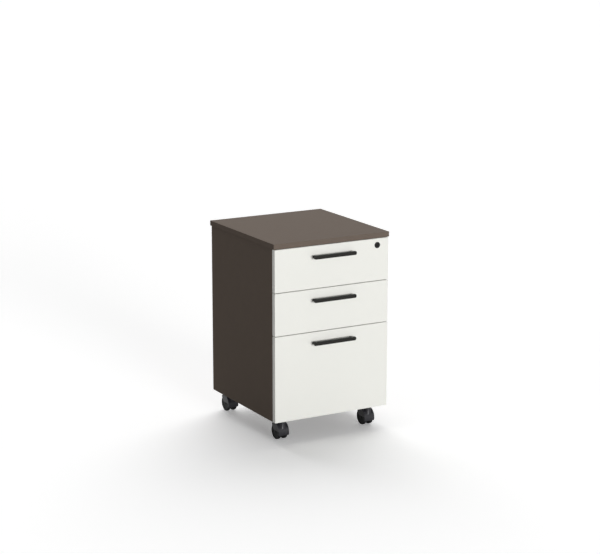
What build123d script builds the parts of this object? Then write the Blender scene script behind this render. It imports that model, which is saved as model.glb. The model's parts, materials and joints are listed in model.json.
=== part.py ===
from build123d import *
import math
import os

# Rolling pedestal cabinet: two box drawers over a file drawer, gang lock, four twin-wheel casters.
# Millimetres, +Z up, front towards -Y. Origin on the floor at the middle of the bounding box.

# cabinet
top_width = 400.0
top_depth = 420.0
top_thickness = 16.0
top_side_overhang = 3.0
top_back_overhang = 4.0
board = 16.0
carcass_height = 535.0

# drawer fronts
front_thickness = 16.0
front_stand_off = 1.5
front_top_gap = 1.5
front_gap = 2.0
box_front_height = 131.0

# drawer boxes
box_board = 12.0
box_drop = 40.0
file_box_drop = 8.0
box_rise = 9.0
file_box_rise = 5.0
box_back_gap = 28.0
base_thickness = 6.0
base_rise = 8.0
base_groove_depth = 5.0
fit_clearance = 0.2

# telescopic slides, 45 mm high, in the gap beside each box
slide_gap = 12.7
slide_height = 45.0
slide_drop = 41.0
file_slide_drop = 119.0
slide_set_back = 3.0
slide_back_gap = 1.5
slide_sheet = 1.2
slide_bend = 1.4
slide_lip = 3.2
outer_depth = 10.4
middle_offset = 2.2
middle_depth = 8.6
inner_depth = 8.0
ball_gap = 2.7
cage_clearance = 0.3
cage_side_gap = 1.0
cage_length = 140.0
cage_end = 20.0

# bar handles
handle_length = 145.0
handle_height = 11.0
handle_projection = 22.0
handle_thickness = 7.0
handle_leg = 14.0
handle_corner = 2.5
handle_throat = 6.0
handle_drop = 32.0
screw_spacing = 128.0
screw_radius = 2.0
screw_hole_clearance = 0.3
screw_bite = 9.0
screw_head_radius = 4.0
screw_head_height = 2.4

# lock in the top drawer front
lock_side_inset = 39.5
lock_drop = 20.5
lock_flange_radius = 9.5
lock_flange_thickness = 2.0
lock_barrel_radius = 8.0
lock_barrel_length = 22.0
lock_nut_radius = 12.0
lock_nut_thickness = 4.0
plug_radius = 5.5
running_clearance = 0.05
key_slot_width = 1.6
key_slot_height = 7.0
key_slot_depth = 3.0
plug_disc_radius = 8.8
plug_disc_thickness = 2.5
plug_disc_gap = 2.0
crank_radius = 6.5
crank_pin_radius = 2.0
crank_pin_length = 8.0
crank_swing = 45.0

# locking bar in the groove of the right side
bar_width = 13.4
bar_thickness = 5.4
bar_clearance = 0.3
bar_set_back = 31.0
bar_tail = 28.0
fork_thickness = 2.0
fork_height = 16.0
fork_slot_clearance = 0.35
fork_end = 3.5
catch_height = 5.0
catch_width = 10.0
catch_reach = 10.0
catch_clearance = 1.5
catch_play = 1.0
stud_radius = 2.5
stud_length = 8.0
stud_drop = 8.0
guide_thickness = 1.5
guide_height = 12.0
guide_margin = 8.0

# knock-down fittings
cam_radius = 7.5
cam_depth = 12.0
cam_inset = 34.0
cam_front_inset = 52.0
cam_back_inset = 56.0

# hanging-file rails
rail_sheet = 1.6
rail_upstand = 8.0
rail_lip = 6.0

# casters
caster_height = 69.0
wheel_radius = 25.0
wheel_width = 11.5
wheel_spacing = 23.5
wheel_skin = 2.8
web_clearance = 0.5
caster_trail = 16.0
caster_front_inset = 39.0
caster_back_inset = 40.5
caster_side_inset = 45.0
axle_radius = 3.0
hood_clearance = 1.3
hood_wall = 2.2
hood_start = 48.0
hood_end = 186.0
hub_boss_radius = 9.0
swivel_radius = 10.0
swivel_neck_rise = 12.0
kingpin_radius = 5.0
kingpin_bite = 10.5
plate_size = 38.0
plate_thickness = 2.5
plate_corner = 4.0
collar_radius = 13.0
collar_height = 6.0
swivel_gap = 0.4
kingpin_top_gap = 0.6
plate_screw_pitch = 28.0
plate_screw_radius = 1.9
plate_screw_head_radius = 3.5
plate_screw_head_height = 2.0
plate_screw_length = 12.0

# places that follow from the sizes above
carcass_width = top_width - 2 * top_side_overhang
inner_half = carcass_width / 2 - board
top_z = caster_height + carcass_height + top_thickness
under_top_z = top_z - top_thickness
face_y = -(top_depth + handle_projection) / 2 + handle_projection
front_back_y = face_y + front_thickness
carcass_y = front_back_y + front_stand_off
back_y = face_y + top_depth - top_back_overhang
box_half = inner_half - slide_gap
box_back_y = back_y - board - box_back_gap
slide_y = carcass_y + slide_set_back
slide_length = box_back_y - slide_back_gap - slide_y
file_front_height = carcass_height - front_top_gap - 2 * (box_front_height + front_gap)
lock_x = carcass_width / 2 - lock_side_inset
lock_z = under_top_z - front_top_gap - lock_drop
bar_y = face_y + bar_set_back
bar_face = inner_half + bar_clearance
crank_arm = crank_radius * math.cos(math.radians(crank_swing))
bar_lift = 2 * crank_radius * math.sin(math.radians(crank_swing))
crank_rest_z = lock_z - bar_lift / 2
plug_disc_y = face_y + lock_barrel_length + plug_disc_gap
middle_height = slide_height - 2 * (slide_sheet + ball_gap)
inner_height = middle_height - 2 * (slide_sheet + ball_gap)


def block(x0, x1, y0, y1, z0, z1):
    """A board or plate between two corners."""
    return Pos(x0, y0, z0) * Box(x1 - x0, y1 - y0, z1 - z0, align=(Align.MIN,) * 3)


def rod(radius, x, y, z, length, axis="Z"):
    """A round bar from a centre point, along a positive axis."""
    turn = {"X": Rot(0, 90, 0), "Y": Rot(-90, 0, 0), "Z": Rot(0, 0, 0)}[axis]
    base = (Align.CENTER, Align.CENTER, Align.MIN)
    return Pos(x, y, z) * turn * Cylinder(radius, length, align=base)


def hex_bar(radius, x, y, z, length, axis="Z"):
    """A six-sided bar for a screw's head, shank or hole, with its corners at radius."""
    turn = {"Y": Rot(-90, 0, 0), "Z": Rot(0, 0, 0)}[axis]
    return Pos(x, y, z) * turn * extrude(RegularPolygon(radius, 6), length)


def write(node, *solids):
    """One STEP file for a node, holding one or more separate solids."""
    shape = solids[0] if len(solids) == 1 else Compound(children=list(solids))
    export_step(shape, f"parts/{node}.step")


class Drawer:
    """Heights and names of one drawer, from the top of its front down."""

    def __init__(self, name, front_top, front_height, drop, rise, to_slide):
        self.name = name
        self.front_top = front_top
        self.front_bottom = front_top - front_height
        self.box_top = front_top - drop
        self.box_bottom = self.front_bottom + rise
        self.slide_z = self.box_top - to_slide
        self.stud_z = self.box_top - stud_drop
        self.handle_z = front_top - handle_drop
        # the file box reaches up behind the handle, so its screws pass through both boards
        self.handle_grip = front_thickness + (box_board if drop < handle_drop else 0)


def drawer_stack():
    first = under_top_z - front_top_gap
    second = first - box_front_height - front_gap
    third = second - box_front_height - front_gap
    return [
        Drawer("drawer_1", first, box_front_height, box_drop, box_rise, slide_drop),
        Drawer("drawer_2", second, box_front_height, box_drop, box_rise, slide_drop),
        Drawer("file_drawer", third, file_front_height, file_box_drop, board + file_box_rise, file_slide_drop),
    ]


drawers = drawer_stack()


# ---- carcass ----

def cam_fittings():
    """Cams in pockets near the tops of the sides, and under the base near its ends."""
    cams = []
    for side in (-1, 1):
        start = inner_half if side > 0 else -inner_half - cam_depth
        for y in (carcass_y + cam_front_inset, back_y - board - cam_back_inset):
            cams.append(rod(cam_radius, start, y, under_top_z - cam_inset, cam_depth, "X"))
            cams.append(rod(cam_radius, side * (inner_half - cam_inset), y, caster_height, cam_depth))
    return cams


def top_panel():
    half = top_width / 2
    return block(-half, half, face_y, face_y + top_depth, under_top_z, top_z)


def side_panel(side):
    near, far = sorted((side * inner_half, side * carcass_width / 2))
    return block(near, far, carcass_y, back_y, caster_height, under_top_z)


def bar_groove():
    """Groove that the locking bar slides in, open at the top edge of the right side."""
    low = drawers[-1].stud_z - bar_tail - bar_lift
    return block(
        inner_half, bar_face + bar_thickness + bar_clearance,
        bar_y - bar_clearance, bar_y + bar_width + bar_clearance, low, under_top_z,
    )


def carcass():
    cams = cam_fittings()
    boards = {
        "left_side": side_panel(-1),
        "right_side": side_panel(1) - bar_groove(),
        "bottom_panel": block(
            -inner_half, inner_half, carcass_y, back_y - board, caster_height, caster_height + board
        ),
    }
    for name, shape in boards.items():
        for cam in cams:
            shape = shape - cam
        write(name, shape)
    write("top_panel", top_panel())
    write("back_panel", block(-inner_half, inner_half, back_y - board, back_y, caster_height, under_top_z))
    write("cam_fittings", *cams)


# ---- telescopic slides ----

def channel(side, base, reach, height, lip, z, y):
    """A roll-formed C section along Y: web at distance base from the cabinet side, flanges to reach."""
    way = 1 if reach > base else -1
    depth, half, sheet = abs(reach - base), height / 2, slide_sheet
    outline = [
        (0, -half), (depth, -half), (depth, -half + lip), (depth - sheet, -half + lip),
        (depth - sheet, -half + sheet), (sheet, -half + sheet), (sheet, half - sheet),
        (depth - sheet, half - sheet), (depth - sheet, half - lip), (depth, half - lip),
        (depth, half), (0, half),
    ]
    if lip <= sheet:
        outline = outline[:2] + [(depth, -half + sheet)] + outline[5:7] + [(depth, half - sheet)] + outline[10:]
    points = [(side * (inner_half - base - way * s), y, z + h) for s, h in outline]
    face = make_face(Polyline(*points, close=True))
    bends = [v for v in face.vertices() if abs(abs(v.X) - (inner_half - base)) < sheet / 2]
    return extrude(fillet(bends, slide_bend), slide_length, dir=(0, 1, 0))


def ball_cages(side, z):
    """Ball cages on the middle member's flanges: outer pair at its back, inner pair at its front."""
    cages = []
    thick = ball_gap - cage_clearance
    for up in (-1, 1):
        rows = (
            (middle_height / 2, middle_offset + slide_sheet, outer_depth - slide_sheet - cage_side_gap,
             slide_y + slide_length - cage_end - cage_length),
            (middle_height / 2 - slide_sheet - thick, slide_gap - inner_depth + cage_side_gap,
             middle_offset + middle_depth - cage_side_gap, slide_y + cage_end),
        )
        for low, near, far, start in rows:
            x0, x1 = sorted((side * (inner_half - near), side * (inner_half - far)))
            z0, z1 = sorted((z + up * low, z + up * (low + thick)))
            cages.append(block(x0, x1, start, start + cage_length, z0, z1))
    return cages


def slides():
    outers = []
    for drawer in drawers:
        middles, inners = [], []
        for side in (-1, 1):
            z = drawer.slide_z
            outers.append(channel(side, 0, outer_depth, slide_height, slide_lip, z, slide_y))
            reach = middle_offset + middle_depth
            middles.append(channel(side, middle_offset, reach, middle_height, slide_sheet, z, slide_y))
            middles += ball_cages(side, z)
            reach = slide_gap - inner_depth
            inners.append(channel(side, slide_gap, reach, inner_height, slide_sheet, z, slide_y))
        write(f"{drawer.name}_middle_slides", *middles)
        write(f"{drawer.name}_slide_members", *inners)
    write("cabinet_slide_members", *outers)


# ---- drawers ----

def screw_holes(drawer, radius, y0, y1):
    holes = [hex_bar(radius, side * screw_spacing / 2, y0, drawer.handle_z, y1 - y0, "Y") for side in (-1, 1)]
    return holes[0] + holes[1]


def drawer_front(drawer):
    half = carcass_width / 2
    front = block(-half, half, face_y, front_back_y, drawer.front_bottom, drawer.front_top)
    front -= screw_holes(drawer, screw_radius + screw_hole_clearance, face_y, front_back_y)
    if drawer is drawers[0]:
        front -= rod(lock_barrel_radius + fit_clearance, lock_x, face_y, lock_z, front_thickness, "Y")
    return front


def handle(drawer):
    """A cast bridge pull: one flat bar with square legs at its ends and a rounded throat."""
    half, out = handle_length / 2, face_y - handle_projection
    outer = Polyline((-half, face_y), (-half, out), (half, out), (half, face_y), close=True)
    plan = make_face(outer)
    plan = fillet([v for v in plan.vertices() if abs(v.Y - out) < 0.01], handle_corner)
    gap, inside = half - handle_leg, out + handle_thickness
    throat = make_face(Polyline((-gap, face_y), (-gap, inside), (gap, inside), (gap, face_y), close=True))
    throat = fillet([v for v in throat.vertices() if abs(v.Y - inside) < 0.01], handle_throat)
    bar = Pos(0, 0, drawer.handle_z - handle_height / 2) * extrude(plan - throat, handle_height, dir=(0, 0, 1))
    return bar - screw_holes(drawer, screw_radius, face_y - screw_bite, face_y)


def handle_screws(drawer):
    screws = []
    head_y = face_y + drawer.handle_grip
    for side in (-1, 1):
        x = side * screw_spacing / 2
        length = drawer.handle_grip + screw_bite
        shank = hex_bar(screw_radius, x, face_y - screw_bite, drawer.handle_z, length, "Y")
        screws.append(shank + hex_bar(screw_head_radius, x, head_y, drawer.handle_z, screw_head_height, "Y"))
    return screws


def base_groove(drawer):
    """Space that the box's base takes up, with its fit clearance, in the four boards round it."""
    reach = box_half - box_board + base_groove_depth + fit_clearance
    z = drawer.box_bottom + base_rise
    return block(
        -reach, reach,
        front_back_y + box_board - base_groove_depth - fit_clearance,
        box_back_y - box_board + base_groove_depth + fit_clearance,
        z, z + base_thickness,
    )


def drawer_box(drawer):
    low, high, inner = drawer.box_bottom, drawer.box_top, box_half - box_board
    groove = base_groove(drawer)
    sides = []
    for side in (-1, 1):
        x0, x1 = sorted((side * inner, side * box_half))
        sides.append(block(x0, x1, front_back_y, box_back_y, low, high) - groove)
    near = block(-inner, inner, front_back_y, front_back_y + box_board, low, high) - groove
    if drawer.handle_grip > front_thickness:
        radius = screw_radius + screw_hole_clearance
        near -= screw_holes(drawer, radius, front_back_y, front_back_y + box_board)
    far = block(-inner, inner, box_back_y - box_board, box_back_y, low, high) - groove
    reach = inner + base_groove_depth
    base = block(
        -reach, reach,
        front_back_y + box_board - base_groove_depth, box_back_y - box_board + base_groove_depth,
        low + base_rise, low + base_rise + base_thickness,
    )
    return sides, [near, far], base


def catch_stud(drawer):
    """Steel stud on the right of the box, just behind its catch on the locking bar."""
    y = bar_y + (bar_width + catch_width) / 2 + catch_play + stud_radius
    return rod(stud_radius, box_half, y, drawer.stud_z, stud_length, "X")


def file_rails(drawer):
    """Bent steel rails along the tops of the file box's sides, for hanging folders."""
    rails = []
    y0, y1 = front_back_y + box_board, box_back_y - box_board
    top = drawer.box_top
    for side in (-1, 1):
        inner, outer = side * (box_half - box_board), side * box_half
        lip = inner - side * rail_sheet
        flat = block(*sorted((lip, outer)), y0, y1, top, top + rail_sheet)
        lips = block(*sorted((lip, inner)), y0, y1, top - rail_lip, top)
        edge = inner + side * rail_sheet
        upstand = block(*sorted((inner, edge)), y0, y1, top + rail_sheet, top + rail_upstand)
        rails.append(flat + lips + upstand)
    return rails


def drawer_pieces():
    for drawer in drawers:
        name = drawer.name
        sides, ends, base = drawer_box(drawer)
        write(f"{name}_front", drawer_front(drawer))
        write(f"{name}_handle", handle(drawer))
        write(f"{name}_handle_screws", *handle_screws(drawer))
        write(f"{name}_box_sides", *sides)
        write(f"{name}_box_ends", *ends)
        write(f"{name}_base", base)
        write(f"{name}_catch_stud", catch_stud(drawer))
    write("file_rails", *file_rails(drawers[-1]))


# ---- gang lock ----

def lock_housing():
    flange_y = face_y - lock_flange_thickness
    body = rod(lock_flange_radius, lock_x, flange_y, lock_z, lock_flange_thickness, "Y")
    body += rod(lock_barrel_radius, lock_x, face_y, lock_z, lock_barrel_length, "Y")
    length = lock_flange_thickness + lock_barrel_length
    return body - rod(plug_radius + running_clearance, lock_x, flange_y, lock_z, length, "Y")


def lock_nut():
    nut = hex_bar(lock_nut_radius, lock_x, front_back_y, lock_z, lock_nut_thickness, "Y")
    return nut - rod(lock_barrel_radius, lock_x, front_back_y, lock_z, lock_nut_thickness, "Y")


def lock_plug():
    """Key plug with a disc and crank pin behind it. The pin rests low on the left of the lock's axis."""
    front_y = face_y - lock_flange_thickness
    plug = rod(plug_radius, lock_x, front_y, lock_z, plug_disc_y - front_y, "Y")
    plug -= block(
        lock_x - key_slot_width / 2, lock_x + key_slot_width / 2,
        front_y, front_y + key_slot_depth,
        lock_z - key_slot_height / 2, lock_z + key_slot_height / 2,
    )
    plug += rod(plug_disc_radius, lock_x, plug_disc_y, lock_z, plug_disc_thickness, "Y")
    pin_y = plug_disc_y + plug_disc_thickness
    return plug + rod(crank_pin_radius, lock_x - crank_arm, pin_y, crank_rest_z, crank_pin_length, "Y")


def bar_fork():
    """Bent plate on the bar's top. The crank pin works in its level slot and leaves it as drawer 1 opens."""
    low, high = crank_rest_z - fork_height / 2, crank_rest_z + fork_height / 2
    play = crank_pin_radius + fork_slot_clearance
    slot_left, slot_right = lock_x - crank_radius - play, lock_x - crank_arm + play
    arm_y = bar_y - fork_thickness
    arm = block(slot_left - fork_end, inner_half - bar_clearance, arm_y, bar_y, low, high)
    arm -= block(slot_left, slot_right, arm_y, bar_y, crank_rest_z - play, crank_rest_z + play)
    foot = block(bar_face - fork_thickness, bar_face, bar_y, bar_y + bar_width, low, high)
    return arm + foot


def catch_block(drawer):
    """Catch on the bar: just under the stud when unlocked, and in front of it when the bar is up."""
    top = drawer.stud_z - stud_radius - catch_clearance
    y = bar_y + (bar_width - catch_width) / 2
    return block(inner_half - catch_reach, bar_face, y, y + catch_width, top - catch_height, top)


def guide_plate(z):
    y = bar_y + bar_width / 2
    reach = bar_width / 2 + guide_margin
    return block(inner_half - guide_thickness, inner_half, y - reach, y + reach, z, z + guide_height)


def gang_lock():
    write("lock_housing", lock_housing())
    write("lock_nut", lock_nut())
    write("lock_plug", lock_plug())
    low = drawers[-1].stud_z - bar_tail
    high = crank_rest_z + fork_height / 2
    write("locking_bar", block(bar_face, bar_face + bar_thickness, bar_y, bar_y + bar_width, low, high))
    write("bar_fork", bar_fork())
    write("bar_catches", *[catch_block(drawer) for drawer in drawers])
    gaps = [drawer.front_top for drawer in drawers[1:]]
    lowest = drawers[-1].stud_z - bar_tail + bar_lift / 2
    write("bar_guides", *[guide_plate(z) for z in gaps + [lowest]])


# ---- casters ----

def swivel_points():
    """Swivel axes on the floor: front left, front right, back left, back right."""
    x = carcass_width / 2 - caster_side_inset
    rows = (face_y + caster_front_inset, back_y - caster_back_inset)
    return [(side * x, y) for y in rows for side in (-1, 1)]


def screw_points(x, y):
    half = plate_screw_pitch / 2
    return [(x + sx * half, y + sy * half) for sx in (-1, 1) for sy in (-1, 1)]


def caster_plate(x, y):
    high = caster_height
    low = high - plate_thickness
    square = Rectangle(plate_size, plate_size)
    plate = Pos(x, y, low) * extrude(chamfer(square.vertices(), plate_corner), plate_thickness)
    plate += rod(collar_radius, x, y, low - collar_height, collar_height)
    for sx, sy in screw_points(x, y):
        plate -= hex_bar(plate_screw_radius + screw_hole_clearance, sx, sy, low, plate_thickness)
    return plate - rod(kingpin_radius + running_clearance, x, y, low - collar_height, high - low + collar_height)


def plate_screws(x, y):
    screws = []
    low = caster_height - plate_thickness
    length = plate_thickness + plate_screw_length
    for sx, sy in screw_points(x, y):
        head = hex_bar(plate_screw_head_radius, sx, sy, low - plate_screw_head_height, plate_screw_head_height)
        screws.append(head + hex_bar(plate_screw_radius, sx, sy, low, length))
    return screws


def sector(radius, start, end):
    """A pie slice in the YZ plane about the axle, angles from the back (+Y) up and over to the front."""
    rim = CenterArc((0, 0), radius, start, end - start)
    return make_face(Curve() + [Line((0, 0), rim @ 0), rim, Line(rim @ 1, (0, 0))])


def caster_hood(x, y):
    """Moulded hood: a web between the wheels, a fender over them, and a boss under the swivel."""
    axle_y = y + caster_trail
    inner_radius = wheel_radius + hood_clearance
    outer_radius = inner_radius + hood_wall
    half = wheel_spacing / 2 + wheel_width / 2
    web_half = wheel_spacing / 2 - wheel_width / 2 - web_clearance
    upright = Plane(origin=(0, 0, 0), x_dir=(0, 1, 0), z_dir=(1, 0, 0))
    slice_face = upright * sector(outer_radius, hood_start, hood_end)
    fender = Pos(-half, 0, 0) * extrude(slice_face, 2 * half, dir=(1, 0, 0))
    boss_top = caster_height - plate_thickness - collar_height - swivel_gap - wheel_radius
    boss = rod(swivel_radius, 0, -caster_trail, swivel_neck_rise, boss_top - swivel_neck_rise)
    wheels = rod(inner_radius, -half, 0, 0, 2 * half, "X")
    web = Pos(-web_half, 0, 0) * extrude(slice_face, 2 * web_half, dir=(1, 0, 0))
    web += rod(hub_boss_radius, -web_half, 0, 0, 2 * web_half, "X")
    hood = (fender + boss) - wheels + web
    hood -= rod(axle_radius, -web_half, 0, 0, 2 * web_half, "X")
    hood -= rod(kingpin_radius, 0, -caster_trail, boss_top - kingpin_bite, kingpin_bite)
    return Pos(x, axle_y, wheel_radius) * hood


def caster_pins(x, y):
    """Kingpin pressed in the hood's boss, and the axle pressed in its web."""
    boss_top = caster_height - plate_thickness - collar_height - swivel_gap
    top = caster_height - kingpin_top_gap
    low = boss_top - kingpin_bite
    kingpin = rod(kingpin_radius, x, y, low, top - low)
    reach = wheel_spacing / 2 + wheel_width / 2 - wheel_skin - web_clearance
    axle = rod(axle_radius, x - reach, y + caster_trail, wheel_radius, 2 * reach, "X")
    return kingpin, axle


def caster_wheel(x, y, side):
    """A moulded wheel with a blind bore in its inner face for the axle."""
    inner, axle_y = (wheel_spacing - wheel_width) / 2, y + caster_trail
    depth = wheel_width - wheel_skin
    start, bore_start = (inner, inner) if side > 0 else (-inner - wheel_width, -inner - depth)
    wheel = rod(wheel_radius, x + start, axle_y, wheel_radius, wheel_width, "X")
    return wheel - rod(axle_radius + running_clearance, x + bore_start, axle_y, wheel_radius, depth, "X")


def casters():
    points = swivel_points()
    names = ("front_left", "front_right", "back_left", "back_right")
    write("caster_plates", *[caster_plate(x, y) for x, y in points])
    write("caster_screws", *[screw for x, y in points for screw in plate_screws(x, y)])
    for name, (x, y) in zip(names, points):
        write(f"{name}_caster_hood", caster_hood(x, y))
        write(f"{name}_caster_pins", *caster_pins(x, y))
        write(f"{name}_caster_wheel_left", caster_wheel(x, y, -1))
        write(f"{name}_caster_wheel_right", caster_wheel(x, y, 1))


os.makedirs("parts", exist_ok=True)
carcass()
slides()
drawer_pieces()
gang_lock()
casters()
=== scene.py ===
import json
import math

import bmesh
import bpy
from mathutils import Matrix, Vector


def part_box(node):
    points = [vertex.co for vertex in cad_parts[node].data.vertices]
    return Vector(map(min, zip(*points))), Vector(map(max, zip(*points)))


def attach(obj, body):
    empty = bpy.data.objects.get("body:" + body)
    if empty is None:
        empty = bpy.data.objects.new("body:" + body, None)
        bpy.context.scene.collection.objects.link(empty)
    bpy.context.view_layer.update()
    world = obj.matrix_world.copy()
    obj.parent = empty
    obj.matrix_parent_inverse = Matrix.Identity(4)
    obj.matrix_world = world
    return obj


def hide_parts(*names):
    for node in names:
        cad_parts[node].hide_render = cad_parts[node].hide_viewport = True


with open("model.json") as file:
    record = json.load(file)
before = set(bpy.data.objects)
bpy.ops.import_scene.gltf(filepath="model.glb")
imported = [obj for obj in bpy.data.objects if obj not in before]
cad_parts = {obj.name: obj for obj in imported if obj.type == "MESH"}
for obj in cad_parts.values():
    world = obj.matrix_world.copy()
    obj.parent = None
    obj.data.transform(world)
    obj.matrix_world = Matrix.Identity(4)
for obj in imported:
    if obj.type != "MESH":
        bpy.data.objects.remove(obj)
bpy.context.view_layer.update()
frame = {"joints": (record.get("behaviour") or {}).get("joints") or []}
scene = bpy.context.scene

# ---- Top panel ----
# A 16 mm chipboard top faced in dark brown-grey melamine, with 1 mm plastic banding glued
# round its edges. It lies on the two sides, and cams pull it down on them.
dark_brown = (111, 100, 91)
board_rounding = 0.0008
banding = 0.001
seam_width = 0.00012
brown_roughness = 0.65
brown_fleck = 0.07
brown_specular = 0.01


class Flow:
    """One output in a material's node tree. Arithmetic on flows adds Math nodes."""

    def __init__(self, tree, socket=None):
        self.tree = tree
        self.socket = socket

    def node(self, kind, settings=None, inputs=None, output=0):
        """Adds a node: its settings first, then values or flows for its sockets."""
        made = self.tree.nodes.new("ShaderNode" + kind)
        for name, value in (settings or {}).items():
            setattr(made, name, value)
        for key, value in (inputs or {}).items():
            if isinstance(value, Flow):
                self.tree.links.new(value.socket, made.inputs[key])
            else:
                made.inputs[key].default_value = value
        return Flow(self.tree, None if output is None else made.outputs[output])

    def maths(self, operation, other=0.0):
        return self.node("Math", {"operation": operation}, {0: self, 1: other})

    def __add__(self, other):
        return self.maths("ADD", other)

    def __sub__(self, other):
        return self.maths("SUBTRACT", other)

    def __rsub__(self, other):
        return self.node("Math", {"operation": "SUBTRACT"}, {0: other, 1: self})

    def __mul__(self, other):
        return self.maths("MULTIPLY", other)

    __radd__ = __add__
    __rmul__ = __mul__

    def rise(self, start, end):
        """0 before start, 1 past end, and a smooth step between them."""
        settings = {"interpolation_type": "SMOOTHSTEP"}
        return self.node("MapRange", settings, {0: self, 1: start, 2: end})

    def between(self, low, high):
        """One colour where this flow is 0 and the other where it is 1."""
        return self.node("Mix", {"data_type": "RGBA"}, {0: self, 6: low, 7: high}, 2)

    def along(self, axis):
        """One coordinate of a point."""
        return self.node("SeparateXYZ", inputs={0: self}, output=axis)

    def stretched(self, x, y, z):
        """A point with its coordinates scaled, for grain that runs one way."""
        return self.node("VectorMath", {"operation": "MULTIPLY"}, {0: self, 1: (x, y, z)})

    def noise(self, scale, detail=2.0):
        """Soft random variation round a half, with so many features to the metre."""
        return self.node("TexNoise", inputs={"Vector": self, "Scale": scale, "Detail": detail})

    def bump(self, height):
        """A surface normal from a height flow in metres."""
        return self.node("Bump", inputs={"Strength": 1.0, "Distance": 1.0, "Height": height})


def colour(rgb, light=1.0):
    """A display colour, 0 to 255, as a shader colour, made lighter or darker."""
    parts = [value / 255 for value in rgb]
    linear = [value / 12.92 if value <= 0.04045 else ((value + 0.055) / 1.055) ** 2.4 for value in parts]
    return (*[min(1.0, value * light) for value in linear], 1.0)


class Finish:
    """A material being made: its shader, and the point on the piece in metres."""

    def __init__(self, name, rgb, roughness, metallic=0.0, specular=0.5):
        self.material = bpy.data.materials.new(name)
        self.material.use_nodes = True
        self.tree = self.material.node_tree
        self.shader = self.tree.nodes["Principled BSDF"]
        self.place = Flow(self.tree).node("TexCoord", output="Object")
        for socket, value in (
            ("Base Color", colour(rgb)), ("Roughness", roughness),
            ("Metallic", metallic), ("Specular IOR Level", specular),
        ):
            self.shader.inputs[socket].default_value = value

    def feed(self, **flows):
        """Links flows to the shader's sockets. An underscore stands for a space."""
        for name, flow in flows.items():
            self.tree.links.new(flow.socket, self.shader.inputs[name.replace("_", " ")])
        return self.material


def laminate(name, rgb, low, high, thin_axis, roughness, fleck, specular):
    """Melamine facing with a fine fleck and a pearl grain, and the seam of its edge banding."""
    made = Finish(name, rgb, roughness, specular=specular)
    fine = made.place.noise(1700.0, 2.0)
    broad = made.place.noise(38.0, 3.0)
    tone = (fine - 0.5) * 1.4 + (broad - 0.5) * 0.6 + 0.5
    middle, half = (low + high) / 2, (high - low) / 2
    seam = Flow(made.tree)
    for axis in range(3):
        if axis != thin_axis:
            offset = made.place.along(axis) - middle[axis]
            depth = half[axis] - offset.maths("ABSOLUTE")
            line = depth.rise(banding - seam_width, banding) - depth.rise(banding, banding + seam_width)
            seam = line if seam.socket is None else seam.maths("MAXIMUM", line)
    skin = tone.between(colour(rgb, 1 - fleck), colour(rgb, 1 + fleck))
    return made.feed(
        Base_Color=(seam * 0.5).between(skin, colour(rgb, 0.4)),
        Roughness=roughness + (broad - 0.5) * 0.12,
        Normal=made.place.bump(made.place.noise(1500.0) * 0.000012 - seam * 0.00003),
    )


def add_slab(shape, low, high, rounding):
    """A board or plate between two corners, with its edges rounded over."""
    verts = bmesh.ops.create_cube(shape, size=1)["verts"]
    bmesh.ops.scale(shape, vec=high - low, verts=verts)
    bmesh.ops.translate(shape, vec=(low + high) / 2, verts=verts)
    edges = list(dict.fromkeys(edge for vert in verts for edge in vert.link_edges))
    bmesh.ops.bevel(shape, geom=edges, offset=rounding, segments=3, profile=0.5, affect="EDGES")


def to_object(name, shape):
    """The mesh as an object in the scene."""
    bmesh.ops.recalc_face_normals(shape, faces=shape.faces)
    mesh = bpy.data.meshes.new(name)
    shape.to_mesh(mesh)
    shape.free()
    made = bpy.data.objects.new(name, mesh)
    scene.collection.objects.link(made)
    return made


def fit(made, material, slot, body, *nodes, bend=38):
    """Gives a piece its finish and body; the slot argument is not used. Edges under the bend, in degrees, look
    smooth.
    """
    made.data.materials.clear()
    made.data.materials.append(material)
    made.data.shade_smooth()
    made.data.set_sharp_from_angle(angle=math.radians(bend))
    weighted = made.modifiers.new("flat_faces", "WEIGHTED_NORMAL")
    weighted.keep_sharp = True
    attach(made, body)
    if nodes:
        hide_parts(*nodes)


top_low, top_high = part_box("top_panel")
shape = bmesh.new()
add_slab(shape, top_low, top_high, board_rounding)
top_finish = laminate(
    "top_laminate", dark_brown, top_low, top_high, 2, brown_roughness, brown_fleck, brown_specular
)
fit(to_object("top_board", shape), top_finish, "dark_laminate", "cabinet", "top_panel")

# ---- Sides, bottom and back ----
# The same dark board. The sides have blind pockets for the cams and the right one a groove
# for the locking bar. The bottom lies between the sides, and the back is let in behind it.
cam_radius = 0.0075
pocket_gap = 0.00015
pocket_chamfer = 0.0003
bar_gap = 0.0003
groove_rounding = 0.0002
overshoot = 0.001
bar_low, bar_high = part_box("locking_bar")
bar_travel = next(joint for joint in frame["joints"] if joint["name"] == "gang_bar_lift")["range_m"][1]
cam_low, cam_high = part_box("cam_fittings")
inner_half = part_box("right_side")[0].x
cam_depth = cam_high.x - inner_half
cam_z = cam_high.z - cam_radius
cam_rows = (cam_low.y + cam_radius, cam_high.y - cam_radius)
low_cam_x = inner_half - (top_low.z - cam_z)
cam_seats = [(Vector((side * inner_half, y, cam_z)), Vector((side, 0, 0))) for side in (-1, 1) for y in cam_rows]
cam_seats += [(Vector((side * low_cam_x, y, cam_low.z)), Vector((0, 0, 1))) for side in (-1, 1) for y in cam_rows]


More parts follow.
